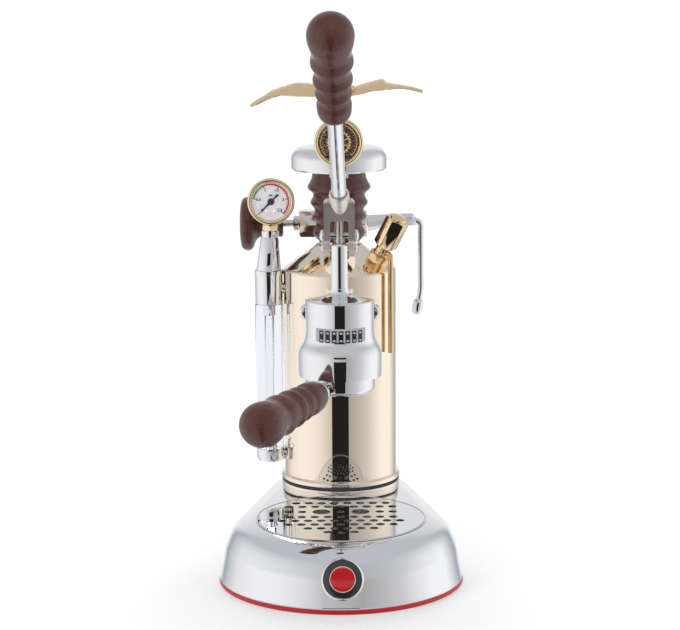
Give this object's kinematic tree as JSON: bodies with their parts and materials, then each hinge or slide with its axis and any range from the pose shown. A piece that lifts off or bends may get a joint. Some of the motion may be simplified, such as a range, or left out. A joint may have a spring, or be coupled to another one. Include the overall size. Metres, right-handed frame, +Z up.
{
  "type": "lever espresso machine",
  "caption": "Manual lever espresso machine with an upright gold boiler, chromed base, drip tray, sight glass, gauges and turned wooden grips.",
  "frame": {"origin": "on the standing surface, below the axis of the boiler", "axes": "+X to the right of a person facing the machine, -Y towards that person, +Z up"},
  "size_m": [0.2, 0.3237, 0.4688],
  "materials": {
    "base_shell": "mirror chrome plate",
    "base_trim_ring": "red moulded trim, satin",
    "bottom_plate": "black paint",
    "badge_bezel": "polished chrome",
    "badge_disc": "black ring round a plain red centre, under clear enamel",
    "base_collar": "polished gold plate",
    "flange_gasket": "dark blue-grey fibre gasket",
    "boiler_vessel": "polished pale gold plate",
    "element_plate": "machined brass",
    "heating_element": "drawn steel tube",
    "group_body": "mirror chrome plate",
    "group_flange": "mirror chrome plate",
    "flange_bolt_left": "bright steel",
    "flange_bolt_right": "bright steel",
    "group_gasket": "black rubber",
    "shower_screen": "perforated steel",
    "thermometer_strip": "printed film with dark temperature cells",
    "fulcrum_pin": "polished chrome",
    "steam_valve_body": "satin nickel plate",
    "steam_arm": "polished chrome",
    "sight_head": "mirror chrome plate",
    "sight_foot": "mirror chrome plate",
    "sight_tube": "clear glass",
    "sight_shield": "clear shield with a soft silver tint",
    "boiler_gauge_case": "polished gold plate",
    "boiler_gauge_dial": "white enamel with a pressure scale",
    "boiler_gauge_lens": "clear glass",
    "safety_valve_body": "polished gold plate",
    "safety_cap": "polished gold plate",
    "discharge_pipe": "polished gold plate",
    "switch_frame": "black plastic",
    "cord_gland": "black plastic",
    "lever_fork": "satin nickel plate",
    "lever_arm": "polished chrome",
    "lever_handle": "dark red wood, satin lacquer",
    "piston": "black moulded piston",
    "piston_seal_lower": "lip seal",
    "piston_seal_upper": "lip seal",
    "piston_rod": "satin nickel plate",
    "piston_pin": "polished chrome",
    "group_gauge_case": "finely brushed gold plate",
    "group_gauge_dial": "dark bronze with an engraved wheel ornament",
    "group_gauge_lens": "clear glass",
    "group_gauge_needle": "red paint",
    "boiler_gauge_needle": "black paint",
    "portafilter_ring": "mirror chrome plate",
    "portafilter_handle": "dark red wood, satin lacquer",
    "filter_basket": "bright pressed steel",
    "cap_plug": "polished gold plate",
    "cap_gasket": "white sealing washer",
    "cap_column": "dark red wood, satin lacquer",
    "cap_dome": "mirror chrome plate",
    "eagle_finial": "polished gold plate",
    "drip_tray": "pressed steel, satin inside and bright at the rim",
    "drip_grid": "polished perforated steel",
    "steam_spindle": "bright nickel plate",
    "steam_knob": "dark red wood, satin lacquer",
    "steam_wand": "polished chrome",
    "switch_rocker": "black plastic"
  },
  "bodies": {
    "machine": {"base_shell": "base_shell", "base_trim_ring": "base_trim_ring", "bottom_plate": "bottom_plate", "badge_bezel": "badge_bezel", "badge_disc": "badge_disc", "base_collar": "base_collar", "flange_gasket": "flange_gasket", "boiler_vessel": "boiler_vessel", "element_plate": "element_plate", "heating_element": "heating_element", "group_body": "group_body", "group_flange": "group_flange", "flange_bolt_left": "flange_bolt_left", "flange_bolt_right": "flange_bolt_right", "group_gasket": "group_gasket", "shower_screen": "shower_screen", "thermometer_strip": "thermometer_strip", "fulcrum_pin": "fulcrum_pin", "steam_valve_body": "steam_valve_body", "steam_arm": "steam_arm", "sight_head": "sight_head", "sight_foot": "sight_foot", "sight_tube": "sight_tube", "sight_shield": "sight_shield", "boiler_gauge_case": "boiler_gauge_case", "boiler_gauge_dial": "boiler_gauge_dial", "boiler_gauge_lens": "boiler_gauge_lens", "safety_valve_body": "safety_valve_body", "safety_cap": "safety_cap", "discharge_pipe": "discharge_pipe", "switch_frame": "switch_frame", "cord_gland": "cord_gland"},
    "lever": {"lever_fork": "lever_fork", "lever_arm": "lever_arm", "lever_handle": "lever_handle"},
    "piston_assembly": {"piston": "piston", "piston_seal_lower": "piston_seal_lower", "piston_seal_upper": "piston_seal_upper", "piston_rod": "piston_rod", "piston_pin": "piston_pin", "group_gauge_case": "group_gauge_case", "group_gauge_dial": "group_gauge_dial", "group_gauge_lens": "group_gauge_lens"},
    "pressure_needle": {"group_gauge_needle": "group_gauge_needle"},
    "boiler_needle": {"boiler_gauge_needle": "boiler_gauge_needle"},
    "portafilter": {"portafilter_ring": "portafilter_ring", "portafilter_handle": "portafilter_handle", "filter_basket": "filter_basket"},
    "filler_cap": {"cap_plug": "cap_plug", "cap_gasket": "cap_gasket", "cap_column": "cap_column", "cap_dome": "cap_dome", "eagle_finial": "eagle_finial"},
    "tray": {"drip_tray": "drip_tray"},
    "grid": {"drip_grid": "drip_grid"},
    "steam_tap": {"steam_spindle": "steam_spindle", "steam_knob": "steam_knob"},
    "wand": {"steam_wand": "steam_wand"},
    "power_rocker": {"switch_rocker": "switch_rocker"}
  },
  "joints": [
    {"name": "lever_swing", "type": "hinge", "parent": "machine", "child": "lever", "pos_m": [0, -0.064, 0.2657], "axis": [1, 0, 0], "range_deg": [0, 69]},
    {"name": "piston_slide", "type": "slide", "parent": "machine", "child": "piston_assembly", "axis": [0, 0, 1], "range_m": [-0.03, 0.0005]},
    {"name": "pressure_needle_turn", "type": "hinge", "parent": "piston_assembly", "child": "pressure_needle", "pos_m": [0, -0.09, 0.3559], "axis": [0, 1, 0], "range_deg": [0, 250]},
    {"name": "boiler_needle_turn", "type": "hinge", "parent": "machine", "child": "boiler_needle", "pos_m": [-0.0576, -0.014, 0.2977], "axis": [0, 1, 0], "range_deg": [0, 270]},
    {"name": "portafilter_twist", "type": "hinge", "parent": "machine", "child": "portafilter", "pos_m": [0, -0.085, 0.16], "axis": [0, 0, 1], "range_deg": [-35, 30]},
    {"name": "cap_lift", "type": "slide", "parent": "machine", "child": "filler_cap", "axis": [0, 0, 1], "range_m": [0, 0.05]},
    {"name": "tray_lift", "type": "slide", "parent": "machine", "child": "tray", "axis": [0, 0, 1], "range_m": [0, 0.04]},
    {"name": "grid_lift", "type": "slide", "parent": "tray", "child": "grid", "axis": [0, 0, 1], "range_m": [0, 0.03]},
    {"name": "steam_knob_turn", "type": "hinge", "parent": "machine", "child": "steam_tap", "pos_m": [-0.05, 0.038, 0.2716], "axis": [1, 0, 0], "range_deg": [0, 330]},
    {"name": "wand_swing", "type": "hinge", "parent": "machine", "child": "wand", "pos_m": [0.062, 0.038, 0.2693], "axis": [1, 0, 0], "range_deg": [-40, 60]},
    {"name": "rocker_tilt", "type": "hinge", "parent": "machine", "child": "power_rocker", "pos_m": [-0.0455, 0.0495, 0.0273], "axis": [0.7431, 0.6691, 0], "range_deg": [0, 14]}
  ],
  "couplings": [
    {"joint": "piston_slide", "follows": "lever_swing", "m_per_rad": -0.0235}
  ]
}
